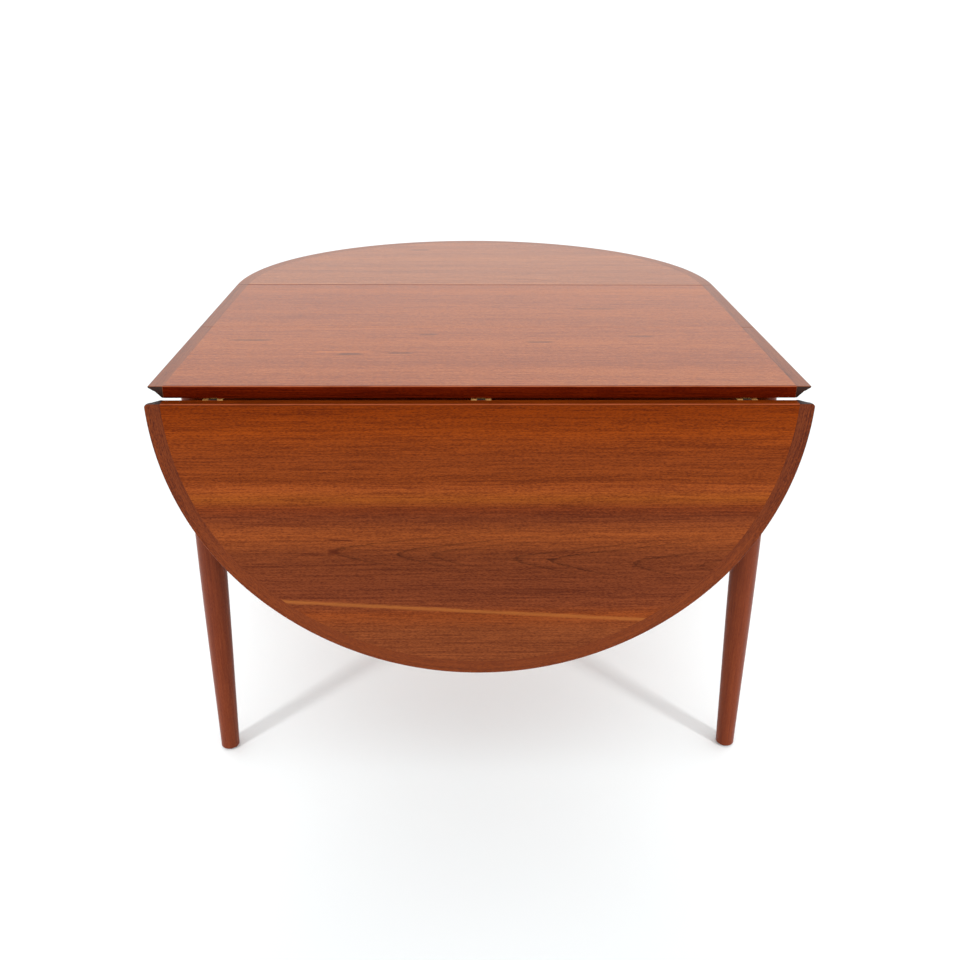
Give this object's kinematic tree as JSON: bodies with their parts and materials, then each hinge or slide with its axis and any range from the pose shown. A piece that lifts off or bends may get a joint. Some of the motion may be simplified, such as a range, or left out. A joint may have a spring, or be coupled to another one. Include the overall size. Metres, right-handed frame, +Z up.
{
  "type": "drop leaf table",
  "caption": "Draw-apart dining table with a rectangular centre top, a D-shaped drop leaf on each hinge edge, folding leaf stays and round tapered splayed legs.",
  "frame": {"origin": "on the floor, midway between the four feet, with the halves closed", "axes": "+X to the right along the hinge edges, +Y to the rear across the table towards the leaf that is raised at rest, +Z up"},
  "size_m": [1.02, 1.1868, 0.725],
  "materials": {
    "teak_veneer": "satin lacquered teak veneer, grain along X",
    "teak_edge": "satin lacquered solid teak",
    "teak_leg": "satin lacquered turned teak",
    "teak_rail": "oiled solid teak",
    "beech": "plain waxed beech",
    "brass": "dulled brass",
    "steel": "zinc plated",
    "nylon": "dark nylon"
  },
  "bodies": {
    "front_end": {"front_apron": "teak_rail", "front_corner_blocks": "beech", "front_end_screws": "steel", "front_foot_glides": "nylon", "front_hinge_pins": "brass", "front_hinge_top_plates": "brass", "front_left_end_strip": "teak_edge", "front_left_leg": "teak_leg", "front_left_side_rail": "teak_rail", "front_leg_bolts": "steel", "front_right_end_strip": "teak_edge", "front_right_leg": "teak_leg", "front_right_side_rail": "teak_rail", "front_stay_brackets": "steel", "front_top_lipping": "teak_edge", "front_top_panel": "teak_veneer", "left_runner_front": "beech", "lock_plate": "brass", "meeting_dowels": "beech", "right_runner_front": "beech"},
    "rear_end": {"left_runner_rear": "beech", "lock_keeper": "brass", "rear_apron": "teak_rail", "rear_corner_blocks": "beech", "rear_end_screws": "steel", "rear_foot_glides": "nylon", "rear_hinge_pins": "brass", "rear_hinge_top_plates": "brass", "rear_left_end_strip": "teak_edge", "rear_left_leg": "teak_leg", "rear_left_side_rail": "teak_rail", "rear_leg_bolts": "steel", "rear_right_end_strip": "teak_edge", "rear_right_leg": "teak_leg", "rear_right_side_rail": "teak_rail", "rear_stay_brackets": "steel", "rear_top_lipping": "teak_edge", "rear_top_panel": "teak_veneer", "right_runner_rear": "beech"},
    "runner_middles": {"left_runner_middle": "beech", "right_runner_middle": "beech"},
    "front_leaf": {"front_hinge_leaf_plates": "brass", "front_leaf_band": "teak_edge", "front_leaf_lipping": "teak_edge", "front_leaf_panel": "teak_veneer", "front_leaf_screws": "steel", "front_stay_tracks": "steel"},
    "rear_leaf": {"rear_hinge_leaf_plates": "brass", "rear_leaf_band": "teak_edge", "rear_leaf_lipping": "teak_edge", "rear_leaf_panel": "teak_veneer", "rear_leaf_screws": "steel", "rear_stay_tracks": "steel"},
    "front_stays": {"front_left_stay": "steel", "front_right_stay": "steel"},
    "rear_stays": {"rear_left_stay": "steel", "rear_right_stay": "steel"},
    "lock_lever": {"lock_lever": "brass"}
  },
  "joints": [
    {"name": "draw", "type": "slide", "parent": "front_end", "child": "rear_end", "axis": [0, 1, 0], "range_m": [0, 0.45]},
    {"name": "runner_draw", "type": "slide", "parent": "front_end", "child": "runner_middles", "axis": [0, 1, 0], "range_m": [0, 0.225]},
    {"name": "front_leaf_hinge", "type": "hinge", "parent": "front_end", "child": "front_leaf", "pos_m": [0, -0.3389, 0.7014], "axis": [-1, 0, 0], "range_deg": [0, 90]},
    {"name": "rear_leaf_hinge", "type": "hinge", "parent": "rear_end", "child": "rear_leaf", "pos_m": [0, 0.3389, 0.7014], "axis": [-1, 0, 0], "range_deg": [0, 90]},
    {"name": "front_stays_swing", "type": "hinge", "parent": "front_end", "child": "front_stays", "pos_m": [0, -0.3089, 0.6614], "axis": [-1, 0, 0], "range_deg": [0, 93.44]},
    {"name": "rear_stays_swing", "type": "hinge", "parent": "rear_end", "child": "rear_stays", "pos_m": [0, 0.3089, 0.6614], "axis": [-1, 0, 0], "range_deg": [0, 93.44]},
    {"name": "lock_turn", "type": "hinge", "parent": "front_end", "child": "lock_lever", "pos_m": [0, -0.025, 0.7], "axis": [0, 0, -1], "range_deg": [0, 90]}
  ],
  "couplings": [
    {"joint": "runner_draw", "follows": "draw", "ratio": 0.5},
    {"joint": "front_stays_swing", "follows": "front_leaf_hinge", "ratio": 1.0382},
    {"joint": "rear_stays_swing", "follows": "rear_leaf_hinge", "ratio": 1.0382}
  ]
}
